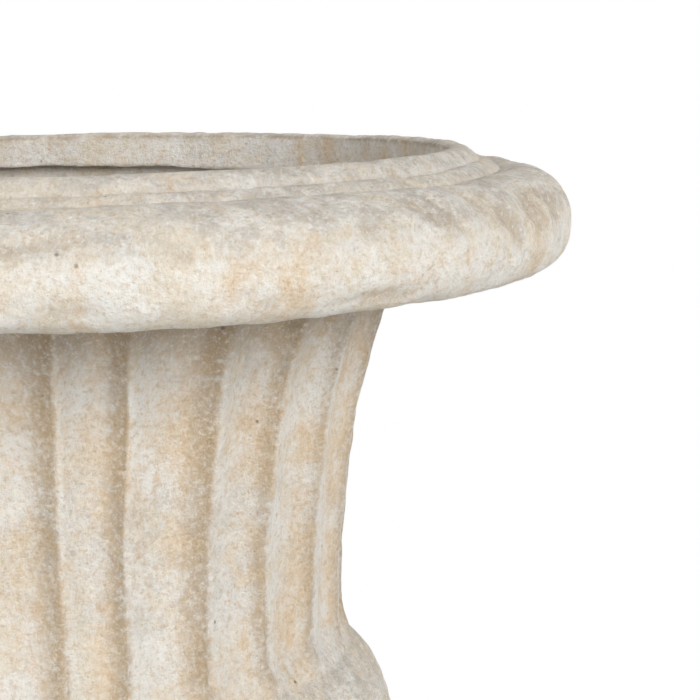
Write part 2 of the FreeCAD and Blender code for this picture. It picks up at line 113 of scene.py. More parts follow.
# The socle in millimetres: torus and bead by their outer radius and their round, the ledge and
# the top of the scotia by their radius and their height above the plinth.
TORUS_RADIUS, TORUS_ROUND = 165, 15
LEDGE = (143, 38)
SCOTIA_TOP = (68, 74)
BEAD_RADIUS, BEAD_ROUND = 92, 11

# The plinth in metres: its rounded edge, the radius and depth of the hollows underneath, and how
# far in from its sides the pads stand.
PLINTH_EDGE = 5 * MM
CLAMP_RECESS = (48 * MM, 36 * MM)
PAD_RECESS = (22.25 * MM, 5 * MM)
PAD_INSET = 38 * MM
PAD_PLACE = PLINTH_HIGH.x - PAD_INSET

# The bore of socle and plinth in millimetres, as a radius.
FOOT_BORE = 16

# The flutes, and the degrees of azimuth that one takes.
FLUTES = 24
PITCH = 360 / FLUTES

# Depth of a flute at the waist and how much deeper it gets up to the soffit, depth of the valleys
# between lobes, and of the sharp crease where two of them meet, in millimetres.
FLUTE_DEPTH = 8
FLUTE_DEEPENING = 4
LOBE_DEPTH = 10
CREASE_DEPTH = 2.2

# How many steps a turned mesh takes round one flute's width.
RIM_STEPS = 34
BODY_STEPS = 19
SOCLE_STEPS = 14

# Azimuths from the front to the right, in degrees: where the inner lip hangs lowest, and where
# the creases between the rim's mouldings have worn full.
LIP_LOW_SIDE = 128
RIM_WORN_SIDE = 78

# The photograph's camera, found from the outlines of the rim and the neck: metres, degrees and
# pixels.
CAMERA_DISTANCE = 1.3824
CAMERA_ABOVE_MOUTH = 0.073
CAMERA_AZIMUTH = 4.4
CAMERA_YAW = 8.27
CAMERA_PITCH = 8.75
CAMERA_ROLL = 0.95
CAMERA_FOCAL_PIXELS = 2000
PHOTO_PIXELS = 700
SENSOR_MM = 36

# How far each ridge of the neck has wandered from its even place, in degrees, counted from the
# front to the right; the photograph shows the first five.
RIDGE_WANDER = (2.9, -0.6, 0.7, -0.3, -0.7, 0.5, -0.4, 0.8, -0.6, 0.2, -0.9, 0.6,
                0.3, -0.7, 0.4, 0.9, -0.5, -0.2, 0.7, -0.8, 0.4, -0.3, 0.6, -0.5)

# How strongly the side of each flute that is turned away from the key light is darkened, counted
# from the one right of the front: painted shade, with some stain.
FLUTE_SHADE_AND_STAIN = (1.0, 1.0, 0.6, 0.35, 0.3, 0.5, 0.8, 0.6, 0.9, 0.5, 0.7, 1.0,
              0.6, 0.8, 0.5, 0.9, 0.7, 0.6, 1.0, 0.8, 0.5, 0.7, 0.9, 0.8)

# Chips and hollows in the rim: azimuth from the front to the right in degrees, then radius,
# height, length and width in millimetres, lean of the length above the level in degrees, and
# depth in millimetres.
RIM_CHIPS = (
    (40.5, 336, 521, 24, 7, -38, 1.6),
    (43.5, 344, 513, 30, 8, -42, 2.4),
    (50.5, 342, 517, 22, 7, -48, 1.8),
    (54.5, 347, 508, 26, 8, -55, 2.6),
    (61.3, 347, 509, 20, 9, -50, 3.0),
    (67.5, 344, 514, 22, 8, -55, 2.4),
    (64.0, 337, 521, 18, 7, -40, 1.5),
    (31.0, 350, 497, 9, 4, 20, 1.6),
    (4.0, 345, 512, 34, 8, 12, 1.2),
    (-6.0, 342, 517, 30, 9, 25, 1.6),
    (13.0, 350, 490, 7, 2, -45, 1.2),
    (36.5, 344, 472, 26, 7, 0, 2.2),
    (92.0, 346, 510, 26, 10, -35, 2.8),
    (118.0, 343, 516, 30, 9, 30, 2.0),
    (149.0, 348, 500, 22, 8, -20, 2.4),
    (176.0, 340, 519, 34, 9, 10, 1.8),
    (205.0, 347, 508, 24, 9, 50, 2.6),
    (233.0, 350, 492, 20, 8, -30, 2.2),
    (262.0, 344, 514, 30, 10, -45, 2.4),
    (291.0, 348, 504, 22, 8, 35, 2.2),
    (322.0, 341, 518, 28, 8, -15, 1.8),
)

# Ochre stains: azimuth, radius, height, length and width, lean of the length, and strength.
RIM_STAINS = (
    (25, 347, 479, 26, 12, 80, 1.0), (20, 350, 492, 18, 9, 60, 0.7),
    (46.2, 350, 490, 9, 5, 0, 0.9), (104, 268, 528, 40, 5, 90, 1.0),
    (111, 268, 528, 40, 7, 90, 0.9), (118, 268, 528, 40, 4, 90, 1.0),
    (124, 268, 528, 40, 8, 90, 0.7), (133, 268, 528, 40, 5, 90, 0.9),
    (139, 268, 528, 40, 4, 90, 0.7), (-40, 350, 488, 24, 10, 70, 0.8),
    (-95, 349, 500, 30, 12, 20, 0.8), (200, 350, 490, 26, 10, 60, 0.8),
    (250, 347, 508, 24, 9, 30, 0.7), (150, 350, 492, 20, 12, 75, 0.8),
)
NECK_STAINS = (
    (43.5, 225, 430, 34, 12, 90, 0.9), (37.8, 208, 365, 46, 12, 90, 1.0),
    (22, 214, 390, 40, 10, 90, 0.6), (8, 205, 345, 50, 9, 90, 0.7),
    (7, 200, 250, 60, 12, 90, 0.6), (52, 205, 350, 34, 8, 90, 0.7),
    (66, 214, 395, 40, 10, 90, 0.8), (98, 210, 370, 50, 12, 90, 0.8),
    (128, 205, 330, 50, 11, 90, 0.7), (173, 212, 385, 46, 12, 90, 0.9),
    (218, 205, 345, 50, 12, 90, 0.8), (263, 214, 395, 44, 11, 90, 0.9),
    (308, 203, 320, 50, 12, 90, 0.7), (-22, 212, 385, 46, 12, 90, 0.9),
)

# Pinholes and knocks on the neck and belly: azimuth, height, size and depth. They lie on a radius
# that grows above a height, near enough to the stone's own.
PIT_RADIUS, PIT_FLARE, PIT_FLARE_START = 197, 0.2, 300
NECK_PITS = (
    (15.2, 371, 2.6, 2.0), (13.8, 309, 2.4, 1.8), (11.0, 328, 2.4, 1.6), (48.2, 221, 3.4, 2.2),
    (47.8, 198, 3.6, 2.4), (62.8, 236, 3.2, 1.8), (43.5, 444, 3.0, 1.6), (97.0, 340, 3.0, 2.0),
    (133.0, 290, 3.2, 2.2), (171.0, 395, 2.8, 1.8), (214.0, 250, 3.4, 2.4), (246.0, 360, 3.0, 2.0),
    (279.0, 300, 3.0, 2.2), (305.0, 410, 2.8, 1.8), (338.0, 270, 3.2, 2.0),
)


# ---------------------------------------------------------------------------
# Turned forms
# ---------------------------------------------------------------------------

def upright_arc(start, end):
    """Radius of an arc between two (radius, height) points that is upright at one of them."""
    reach, rise = abs(start[0] - end[0]), abs(start[1] - end[1])
    return (reach * reach + rise * rise) / (2 * reach)


def arc_points(start, end, radius, side, spacing):
    """Points along an arc that bulges to the left (1) or right (-1) of the way it runs."""
    chord = end - start
    half = chord.length / 2
    normal = Vector((-chord.y, chord.x)).normalized() * side
    drop = math.sqrt(max(radius * radius - half * half, 0))
    centre = (start + end) / 2 - normal * drop
    sweep = 2 * math.asin(min(half / radius, 1))
    steps = max(2, round(radius * sweep / spacing))
    first = start - centre
    turns = [-side * sweep * step / steps for step in range(1, steps + 1)]
    return [centre + Matrix.Rotation(turn, 2) @ first for turn in turns]


def section(path, height=0.0):
    """A closed section of (radius, height) points, walked along lines and arcs.

    Each step is (spacing, radius, height) for a line, or (spacing, radius, height, side, arc
    radius) for an arc, all in millimetres; height is where the section's own zero stands.
    """
    points = []
    previous = Vector(path[-1][1:3]) * MM
    for step in path:
        spacing, corner = step[0] * MM, Vector(step[1:3]) * MM
        if len(step) == 5:
            points += arc_points(previous, corner, step[4] * MM, step[3], spacing)
        else:
            steps = max(1, round((corner - previous).length / spacing))
            points += [previous.lerp(corner, n / steps) for n in range(1, steps + 1)]
        previous = corner
    return [Vector((point.x, point.y + height)) for point in points]


def turned(name, points, steps):
    """A closed mesh spun from a closed section: one flute's width of it, copied round the axis."""
    mesh = bmesh.new()
    ring = [mesh.verts.new((0, -point.x, point.y)) for point in points]
    edges = [mesh.edges.new((ring[n - 1], ring[n])) for n in range(len(ring))]
    about_axis = {"cent": (0, 0, 0), "axis": (0, 0, 1), "dvec": (0, 0, 0), "use_merge": False,
                  "use_normal_flip": False}
    bmesh.ops.spin(
        mesh, geom=ring + edges, angle=math.radians(PITCH), steps=steps, use_duplicate=False,
        **about_axis)
    wedge = mesh.verts[:] + mesh.edges[:] + mesh.faces[:]
    bmesh.ops.spin(
        mesh, geom=wedge, angle=math.radians(360 - PITCH), steps=FLUTES - 1,
        use_duplicate=True, **about_axis)
    bmesh.ops.remove_doubles(mesh, verts=mesh.verts[:], dist=0.02 * MM)
    bmesh.ops.recalc_face_normals(mesh, faces=mesh.faces[:])
    return as_object(name, mesh)


def as_object(name, mesh):
    """A smooth-shaded object at the origin from a bmesh."""
    data = bpy.data.meshes.new(name)
    mesh.to_mesh(data)
    mesh.free()
    data.shade_smooth()
    piece = bpy.data.objects.new(name, data)
    bpy.context.scene.collection.objects.link(piece)
    return piece


# ---------------------------------------------------------------------------
# Carving and weathering
# ---------------------------------------------------------------------------

class Lumps:
    """Smooth random lumps about 0, read from a lattice of seeded random numbers."""

    CELLS = 32

    def __init__(self, seed):
        self.lattice = np.random.default_rng(seed).uniform(-1, 1, (self.CELLS,) * 3)

    def at(self, points, scale):
        """One number a point, with lumps about as wide as the scale."""
        place = points / scale
        cell = np.floor(place).astype(int)
        share = place - cell
        share = share * share * (3 - 2 * share)
        total = np.zeros(len(points))
        for corner in itertools.product((0, 1), repeat=3):
            weight = np.where(corner, share, 1 - share).prod(axis=1)
            x, y, z = np.mod(cell + corner, self.CELLS).T
            total += weight * self.lattice[x, y, z]
        return total

    def layered(self, points, scale, layers=2):
        """Lumps with smaller and shallower lumps on them."""
        return sum(self.at(points, scale / 2 ** n) / 2 ** n for n in range(layers))


def ease(low, high, value):
    """0 below low, 1 above high, with an easy slope between."""
    share = np.clip((value - low) / (high - low), 0, 1)
    return share * share * (3 - 2 * share)


class Carving:
    """The points of a piece while they are moved, and where they were before.

    The points are in metres, and heights, radii and depths in millimetres. Azimuth, height and
    normals stay as they were at first.
    """

    def __init__(self, piece):
        self.piece = piece
        flat = np.zeros(len(piece.data.vertices) * 3, np.float32)
        piece.data.vertices.foreach_get("co", flat)
        self.points = flat.reshape(-1, 3).astype(float)
        piece.data.vertex_normals.foreach_get("vector", flat)
        self.normals = flat.reshape(-1, 3).astype(float)
        self.azimuth = np.degrees(np.arctan2(self.points[:, 0], -self.points[:, 1]))
        self.height = (self.points[:, 2] - SEAT) / MM
        level = self.points[:, :2] / np.linalg.norm(self.points[:, :2], axis=1)[:, None]
        self.outward = np.einsum("ij,ij->i", self.normals[:, :2], level)
        self.worn_away = np.zeros(len(self.points))

    def radius(self):
        """How far every point is from the axis now."""
        return np.linalg.norm(self.points[:, :2], axis=1) / MM

    def near_side(self, azimuth, spread):
        """How near every point is to an azimuth, 1 on it."""
        away = np.mod(self.azimuth - azimuth + 180, 360) - 180
        return np.exp(-(away / spread) ** 2)

    def push(self, amount):
        """Moves every point along its normal."""
        self.points += self.normals * (amount * MM)[:, None]

    def wear(self, amount):
        """Takes stone away, and remembers how much, for the painted shade and dirt in the hollows
        it leaves.
        """
        self.push(-amount)
        self.worn_away += amount

    def turn(self, degrees):
        """Moves every point round the axis by its own angle."""
        angle = np.radians(degrees)
        cos, sin = np.cos(angle), np.sin(angle)
        x, y = self.points[:, 0].copy(), self.points[:, 1].copy()
        self.points[:, 0] = x * cos - y * sin
        self.points[:, 1] = x * sin + y * cos

    def patch(self, azimuth, radius, height, length, width, lean):
        """How near every point is to a long patch of the surface, 1 in its middle."""
        angle, slope = math.radians(azimuth), math.radians(lean)
        across = Vector((math.cos(angle), math.sin(angle), 0))
        along = across * math.cos(slope) + Vector((0, 0, math.sin(slope)))
        centre = Vector((radius * math.sin(angle), -radius * math.cos(angle), height)) * MM
        offset = self.points - np.array(centre + Vector((0, 0, SEAT)))
        run = offset @ np.array(along)
        aside = np.sqrt(np.maximum((offset ** 2).sum(axis=1) - run ** 2, 0))
        return np.exp(-(run / (length * MM)) ** 2 - (aside / (width * MM)) ** 2)

    def chip(self, azimuth, radius, height, length, width, lean, depth):
        """One smooth-sided chip, longer one way than the other."""
        self.wear(self.patch(azimuth, radius, height, length, width, lean) * depth)

    def stain(self, stains):
        """Keeps where the stone is stained for its material."""
        spread = sum(self.patch(*stain[:6]) * stain[6] for stain in stains)
        self.paint("stained", np.clip(spread, 0, 1))

    def store(self, low, high):
        """Writes the points back, held within a box, and what the stone's material reads."""
        held = np.clip(self.points, np.array(low), np.array(high))
        self.piece.data.vertices.foreach_set("co", held.astype(np.float32).ravel())
        self.piece.data.update()
        self.paint("worn_away", self.worn_away)
        self.paint("skyward", self.normals[:, 2])

    def paint(self, name, values):
        """Keeps one number a point on the mesh, for its material to read."""
        layer = self.piece.data.attributes.new(name, "FLOAT", "POINT")
        layer.data.foreach_set("value", values.astype(np.float32))


# Widths of what weather leaves, and how much goes where lumps and grit are level.
WAVE_LENGTH = 95 * MM
LUMP_SIZE = 27 * MM
GRIT_SIZE = 9 * MM
EVEN_WEAR = 0.3


def weather(carving, waves, lumps, grit, seed):
    """Slow waves, lumps and grit, as casting and frost leave them; depths in millimetres."""
    rock = Lumps(seed)
    carving.push(rock.layered(carving.points, WAVE_LENGTH) * waves)
    carving.wear((EVEN_WEAR + rock.layered(carving.points, LUMP_SIZE)) * lumps)
    carving.wear((EVEN_WEAR + rock.layered(carving.points, GRIT_SIZE)) * grit)


# Width of a tool mark in millimetres, how many times longer it is, and how high the noise has to
# be before it cuts.
MARK_WIDTH = 9
MARK_STRETCH = 3.5
MARK_SKIN = 0.05


def tool_marks(carving, lean, depth, share, seed):
    """Slanting marks of the tool, long one way and narrow the other, where share lets them be."""
    slope = math.radians(lean)
    around = np.radians(carving.azimuth) * ROLL_SIDE[0]
    along = around * math.cos(slope) + carving.height * math.sin(slope)
    aside = carving.height * math.cos(slope) - around * math.sin(slope)
    place = np.stack((along / MARK_STRETCH, aside, np.zeros_like(aside)), axis=1)
    marks = Lumps(seed).layered(place, MARK_WIDTH)
    carving.wear(np.maximum(marks - MARK_SKIN, 0) * share * depth)


def across_flute(carving):
    """Where every point lies across its flute, -1 at one ridge and 1 at the next."""
    return 2 * np.mod(carving.azimuth / PITCH, 1) - 1


def flute_masks(carving):
    """The outer face of the bowl, and its neck above the shoulder."""
    outside = ease(0.2, 0.5, carving.outward)
    on_neck = ease(SHOULDER[1] - 6, SHOULDER[1] + 20, carving.height)
    return outside, on_neck


def meeting_crease(carving):
    """How deep the sharp crease is between two lobes, 1 at its deepest; it dies out on the neck."""
    height = carving.height
    narrow = np.exp(-((1 - np.abs(across_flute(carving))) / 0.05) ** 2)
    dying_out = 1 - ease(WAIST[1] + 5, WAIST[1] + 75, height)
    return narrow * dying_out * ease(SHOULDER[1] - 20, WAIST[1], height)


def carve_flutes(carving):
    """Hollow flutes on the neck and rounded lobes on the belly, with creases between."""
    across, height = across_flute(carving), carving.height
    outside, on_neck = flute_masks(carving)
    deepening = ease(WAIST[1], SOFFIT, height)
    worn = 0.10 + 0.10 * deepening
    hollow = np.sqrt((1 - across ** 2) ** 2 + worn ** 2) - worn
    flute = (FLUTE_DEPTH + FLUTE_DEEPENING * deepening) * hollow * on_neck
    valley = 1 - np.sqrt(np.clip(1 - (across * 0.98) ** 2, 0, 1))
    on_belly = 1 - ease(SHOULDER[1] - 12, SHOULDER[1] + 3, height)
    lobe = LOBE_DEPTH * valley * on_belly * ease(4, 70, height)
    crease = CREASE_DEPTH * meeting_crease(carving)
    carving.push(-(flute + lobe + crease) * outside)


def wander_ridges(carving):
    """Turns each ridge a little off its even place, and makes it waver on its way up."""
    even = np.arange(-FLUTES, FLUTES + 1) * PITCH
    wander = [RIDGE_WANDER[n % FLUTES] for n in range(-FLUTES, FLUTES + 1)]
    wobble = Lumps(31).at(carving.points, 70 * MM)
    carving.turn(np.interp(carving.azimuth, even, wander) + 0.5 * wobble)


def flute_light_shade_and_dirt(carving):
    """Keeps the painted light and shade on and round the flutes: a painted highlight with some
    bleaching on each flute's side toward the key light, ochre and tan as painted shade with some
    stain on its other side, a painted shadow with dirt under the rim, painted shade with soil
    inside, and painted shade with dirt in the creases between lobes.
    """
    across, height = across_flute(carving), carving.height
    outside, on_neck = flute_masks(carving)
    shade_and_stain = np.take(FLUTE_SHADE_AND_STAIN, np.floor(carving.azimuth / PITCH).astype(int), mode="wrap")
    reach = ease(0.62 - 0.52 * shade_and_stain, 0.90, across) * (1 - ease(0.95, 1.0, across))
    # Ochre that grows across each flute toward its side turned away from the key light: stain, laid
    # heavier there as painted shade.
    carving.paint("shade_side_ochre", ease(-0.6, 0.5, across) * outside * on_neck)
    # The side of each flute turned to the key light, for a painted highlight with some bleaching.
    carving.paint("lit_side_highlight_and_bleach", (1 - ease(-0.95, -0.35, across)) * outside * on_neck)
    # The side of each flute turned away from the key light, for painted shade with some stain.
    carving.paint("lee_shade_and_stain", reach * (0.35 + 0.65 * shade_and_stain) * outside * on_neck)
    # Umber under the rim's soffit: painted shadow of the rim, with dirt.
    carving.paint("under_rim_shadow_and_dirt", ease(SOFFIT - 55, SOFFIT - 2, height) * outside)
    # The bowl's inner wall, for painted shade with soil.
    carving.paint("inside", (1 - ease(0.0, 0.2, carving.outward)) * (height > 18))
    # The crease between two lobes, for painted shade with dirt.
    carving.paint("crease", meeting_crease(carving) * outside)


def ragged_lip(carving):
    """Makes the foot of the inner lip wavy, as the mould left it, and lower at one side."""
    near = np.exp(-((carving.height - LIP_FOOT) / 8) ** 2)
    inward = ease(0.0, 0.6, -carving.outward) + ease(0.3, 0.9, -carving.normals[:, 2])
    wave = Lumps(41).layered(carving.points, 60 * MM, 3)
    drop = 1.5 + 8 * carving.near_side(LIP_LOW_SIDE, 32) - 1.8 * wave
    carving.points[:, 2] -= drop * MM * near * np.clip(inward, 0, 1)


def near_corners(carving, corners, width):
    """How near every point is to some corners of the section, 1 on them."""
    radius = carving.radius()
    away = [np.hypot(radius - corner[0], carving.height - corner[1]) for corner in corners]
    return sum(np.exp(-(distance / width) ** 2) for distance in away)


def rim_creases(carving):
    """Keeps the creases between the mouldings, for painted shade with dirt in them, and fills two
    where they wore.
    """
    nearness = near_corners(carving, (OUTER_CREASE, INNER_CREASE, MOUTH_EDGE), 2)
    carving.paint("crease", np.clip(nearness, 0, 1))
    filled = near_corners(carving, (OUTER_CREASE, INNER_CREASE), 5)
    carving.push(3.2 * filled * carving.near_side(RIM_WORN_SIDE, 26))


def rim_inside(carving):
    """Keeps what lies under the inner lip, for its painted shade with soil."""
    below_lip = ease(0, 10, LIP_FOOT - 9 - carving.height)
    carving.paint("inside", below_lip * (carving.radius() < 300))


# ---------------------------------------------------------------------------
# Materials
# ---------------------------------------------------------------------------

class Nodes:
    """A short way to write a node material."""

    def __init__(self, name):
        self.material = bpy.data.materials.new(name)
        self.material.use_nodes = True
        self.tree = self.material.node_tree
        self.tree.nodes.clear()

    def add(self, kind, inputs=None, **settings):
        """A node with its settings, and its inputs by name or number."""
        node = self.tree.nodes.new(kind)
        for key, value in settings.items():
            setattr(node, key, value)
        for key, value in (inputs or {}).items():
            self.connect(value, node.inputs[key])
        return node

    def connect(self, value, socket):
        """Links another node's output to a socket, or sets the socket to a value."""
        if isinstance(value, bpy.types.NodeSocket):
            self.tree.links.new(value, socket)
        else:
            socket.default_value = value

    def place(self, stretch=(1, 1, 1)):
        """The piece's own coordinates, stretched where one of the numbers is small."""
        place = self.add("ShaderNodeTexCoord").outputs["Object"]
        return self.add("ShaderNodeMapping", {"Vector": place, "Scale": stretch}).outputs[0]

    def noise(self, place, scale, detail=4.0, roughness=0.55, distortion=0.0):
        """A noise's number at each place."""
        node = self.add("ShaderNodeTexNoise", {
            "Vector": place, "Scale": scale, "Detail": detail, "Roughness": roughness,
            "Distortion": distortion})
        return node.outputs["Fac"]

    def ramp(self, factor, low, high, start=0.0, end=1.0):
        """A number eased from start at low to end at high."""
        node = self.add("ShaderNodeMapRange", {
            "Value": factor, "From Min": low, "From Max": high, "To Min": start, "To Max": end},
            interpolation_type="SMOOTHSTEP")
        return node.outputs["Result"]

    def math(self, operation, first, second):
        """The result of an operation on two numbers."""
        node = self.add("ShaderNodeMath", operation=operation)
        self.connect(first, node.inputs[0])
        self.connect(second, node.inputs[1])
        return node.outputs["Value"]

    def times(self, *factors):
        """The product of several numbers."""
        product = factors[0]
        for factor in factors[1:]:
            product = self.math("MULTIPLY", product, factor)
        return product

    def mix(self, factor, first, second):
        """A colour between two, the first where the factor is 0."""
        node = self.add("ShaderNodeMix", data_type="RGBA")
        self.connect(factor, node.inputs["Factor"])
        self.connect(as_colour(first), node.inputs["A"])
        self.connect(as_colour(second), node.inputs["B"])
        return node.outputs["Result"]

    def attribute(self, name):
        """The number that the carving painted on the mesh under a name."""
        return self.add("ShaderNodeAttribute", attribute_name=name).outputs["Fac"]

    def bump(self, height, distance):
        """A normal that follows a relief."""
        return self.add("ShaderNodeBump", {"Height": height, "Distance": distance}).outputs[0]

    def surface(self, **inputs):
        """A material with one principled surface."""
        sockets = {key.replace("_", " "): as_colour(value) for key, value in inputs.items()}
        shader = self.add("ShaderNodeBsdfPrincipled", sockets)
        self.add("ShaderNodeOutputMaterial", {"Surface": shader.outputs["BSDF"]})
        return self.material


def as_colour(value):
    """Three numbers as a colour socket takes them."""
    if isinstance(value, tuple) and len(value) == 3:
        return (*value, 1.0)
    return value


CREAM = (0.79, 0.71, 0.59)
CHALK = (0.87, 0.845, 0.795)
OCHRE = (0.74, 0.53, 0.32)
UMBER = (0.40, 0.295, 0.19)
TAN = (0.55, 0.405, 0.245)
GREY = (0.52, 0.48, 0.425)
# Near black for painted shade, with dirt: inside the bowl and in the pinholes.
DARK_SHADE_AND_DIRT = (0.16, 0.12, 0.085)


def stone(name, grime, damp):
    """Weathered cast stone: chalk and cream, ochre stains, grey-brown bloom, sandy pitted grain,
    with painted light and shade: a painted highlight on each flute's side toward the key light,
    painted shade on its other side, in the creases, worn hollows and pinholes and inside, and a
    painted shadow under the rim.

    Grime is how much bloom lies on the faces that look up, damp how far ochre has spread.
    """
    make = Nodes(name)
    place = make.place()
    drawn = make.place((1, 1, 0.30))
    brushed = make.place((0.5, 0.5, 1))
    drift = make.noise(place, 7.0, 4.0, 0.55)
    patches = make.noise(place, 22.0, 8.0, 0.66, 0.3)
    mottle = make.noise(place, 85.0, 8.0, 0.70)
    sand = make.noise(place, 260.0, 6.0, 0.72)
    grit = make.noise(place, 640.0, 3.0, 0.70)
    strands = make.noise(drawn, 120.0, 7.0, 0.68)
    strokes = make.noise(brushed, 95.0, 7.0, 0.68, 0.3)
    lee_shade_and_stain = make.attribute("lee_shade_and_stain")

    # Pinholes: sunk in the relief, and near black in colour as painted shade, with dirt.
    cells = make.add("ShaderNodeTexVoronoi", {"Vector": place, "Scale": 95.0})
    hole = make.times(make.ramp(cells.outputs["Distance"], 0.05, 0.14, 1.0, 0.0),
                      make.ramp(make.noise(place, 33.0, 2.0), 0.61, 0.66))

    chalky = make.ramp(make.math("ADD", patches, make.times(mottle, 0.6)), 0.70, 0.87)
    # Chalk on the side of each flute turned to the key light: a painted highlight, with some
    # bleaching.
    lit_highlight_and_bleach = make.times(make.attribute("lit_side_highlight_and_bleach"), make.ramp(mottle, 0.35, 0.6), 0.55)
    spread = make.times(make.ramp(make.noise(drawn, 24.0, 8.0, 0.70, 0.6), 0.48, 0.68),
                        make.ramp(mottle, 0.40, 0.62), damp)
    # Ochre heavier toward each flute's side away from the key light: stain, and painted shade.
    warm = make.times(make.attribute("shade_side_ochre"), make.ramp(strands, 0.34, 0.62, 0.15, 0.70),
                      make.ramp(patches, 0.46, 0.60, 1.0, 0.25))
    flecks = make.times(make.ramp(make.noise(place, 130.0, 7.0, 0.75, 0.4), 0.56, 0.66),
                        make.ramp(drift, 0.38, 0.60), 0.6)
    stained = make.times(make.attribute("stained"), make.ramp(strands, 0.36, 0.60), 0.85)
    # Tan on the side of each flute turned away from the key light: painted shade, with some stain.
    shaded = make.times(lee_shade_and_stain, make.ramp(sand, 0.30, 0.66, 0.30, 0.92))
    bloom = make.times(make.ramp(make.attribute("skyward"), -0.05, 0.65, 0.06, 1.0),
                       make.ramp(strokes, 0.38, 0.60, 0.25, 1.0),
                       make.ramp(patches, 0.34, 0.58, 0.35, 1.0), grime)
    cloud = make.times(make.ramp(drift, 0.46, 0.62), make.ramp(mottle, 0.42, 0.58), 0.34)
    # Umber where the stone is worn deeper: painted shade in the hollows, with dirt.
    hollow_shade_and_dirt = make.ramp(make.attribute("worn_away"), 0.9, 3.0, 0.0, 0.4)
    # Umber in the creases: painted shade, with dirt.
    crease_shade_and_dirt = make.times(make.attribute("crease"), make.ramp(strokes, 0.30, 0.60), 0.7)
    # Umber under the rim: painted shadow, with dirt.
    under_rim_shadow_and_dirt = make.times(make.attribute("under_rim_shadow_and_dirt"),
                           make.ramp(strands, 0.30, 0.62, 0.6, 1.0), 0.92)
    # Near black inside the bowl and under the lip: painted shade, with soil.
    inside = make.times(make.attribute("inside"), make.ramp(mottle, 0.2, 0.7, 0.88, 0.66))
    dark_sand = make.ramp(sand, 0.50, 0.66, 0.0, 0.46)
    pale_sand = make.ramp(sand, 0.49, 0.34, 0.0, 0.55)
    dark_grit = make.ramp(grit, 0.53, 0.74, 0.0, 0.34)
    pale_grit = make.ramp(grit, 0.48, 0.28, 0.0, 0.45)

    # Each layer lies over the ones before it, as far as its share goes.
    colour = CREAM
    for share, over in (
            (chalky, CHALK), (lit_highlight_and_bleach, CHALK), (spread, OCHRE), (warm, OCHRE), (flecks, OCHRE),
            (stained, OCHRE), (shaded, TAN), (bloom, GREY), (cloud, GREY), (hollow_shade_and_dirt, UMBER),
            (crease_shade_and_dirt, UMBER), (under_rim_shadow_and_dirt, UMBER), (inside, DARK_SHADE_AND_DIRT), (dark_sand, TAN),
            (pale_sand, CHALK), (dark_grit, UMBER), (pale_grit, CHALK),
            (make.times(hole, 0.6), DARK_SHADE_AND_DIRT)):
        colour = make.mix(share, colour, over)

    relief = make.math("ADD", make.times(mottle, 1.5), make.times(sand, 2.2))
    relief = make.math("ADD", relief, make.times(grit, 0.9))
    relief = make.math("SUBTRACT", relief, make.times(hole, 0.9))
    relief = make.times(relief, make.ramp(lee_shade_and_stain, 0.0, 1.0, 1.0, 1.5))
    return make.surface(
        Base_Color=colour, Roughness=0.93, Specular_IOR_Level=0.15,
        Normal=make.bump(relief, 1.9 * MM))


def plain(name, base, light, roughness, metallic, scale, relief):
    """A plain finish for metal, rubber and mortar, its two colours in drifts and with a fine grain.

    Scale is how fine the grain is, and relief how high in millimetres.
    """
    make = Nodes(name)
    place = make.place()
    grain = make.noise(place, scale, 4.0, 0.6)
    tint = make.mix(make.ramp(make.noise(place, scale / 9, 3.0), 0.35, 0.65), base, light)
    return make.surface(
        Base_Color=tint, Metallic=metallic,
        Roughness=make.ramp(grain, 0.3, 0.7, roughness - 0.08, roughness + 0.08),
        Normal=make.bump(grain, relief * MM))


def dress(piece, material):
    """Gives a piece one material."""
    piece.data.materials.clear()
    piece.data.materials.append(material)


# ---------------------------------------------------------------------------
# The castings
# ---------------------------------------------------------------------------

def rim():
    """The big roll with its two beads, the lip of the mouth, the undercut and the soffit."""
    piece = turned("rim_stone", section([
        (4.2, ROLL_SIDE[0] - ROLL_FOOT_ROUND, SOFFIT),
        (2.7, ROLL_SIDE[0], SOFFIT + ROLL_FOOT_ROUND, -1, ROLL_FOOT_ROUND),
        (2.7, *ROLL_SIDE),
        (2.5, *OUTER_CREASE, -1, upright_arc(ROLL_SIDE, OUTER_CREASE)),
        (2.0, *INNER_CREASE, -1, OUTER_BEAD_ROUND),
        (2.3, *MOUTH_EDGE, -1, INNER_BEAD_ROUND),
        (2.6, MOUTH_EDGE[0], LIP_FOOT),
        (3.5, UNDERCUT[0], LIP_FOOT),
        (5.0, *UNDERCUT),
        (7.0, *FUNNEL_EDGE),
        (12.0, FLARE[0] - 8, SOFFIT),
    ], SEAT), RIM_STEPS)
    carving = Carving(piece)
    rim_creases(carving)
    carving.stain(RIM_STAINS)
    rim_inside(carving)
    for chip in RIM_CHIPS:
        carving.chip(*chip)
    on_top = ease(0.0, 0.5, carving.normals[:, 2]) * ease(0.05, 0.3, carving.outward)
    rough_part = 0.35 + carving.patch(58, 345, 512, 170, 60, 0)
    tool_marks(carving, lean=-48, depth=2.6, share=on_top * rough_part, seed=51)
    tool_marks(carving, lean=8, depth=1.3, share=ease(0.2, 0.6, carving.outward), seed=52)
    ragged_lip(carving)
    weather(carving, waves=1.5, lumps=0.9, grit=0.45, seed=1)
    carving.store(*cad_box)
    return piece


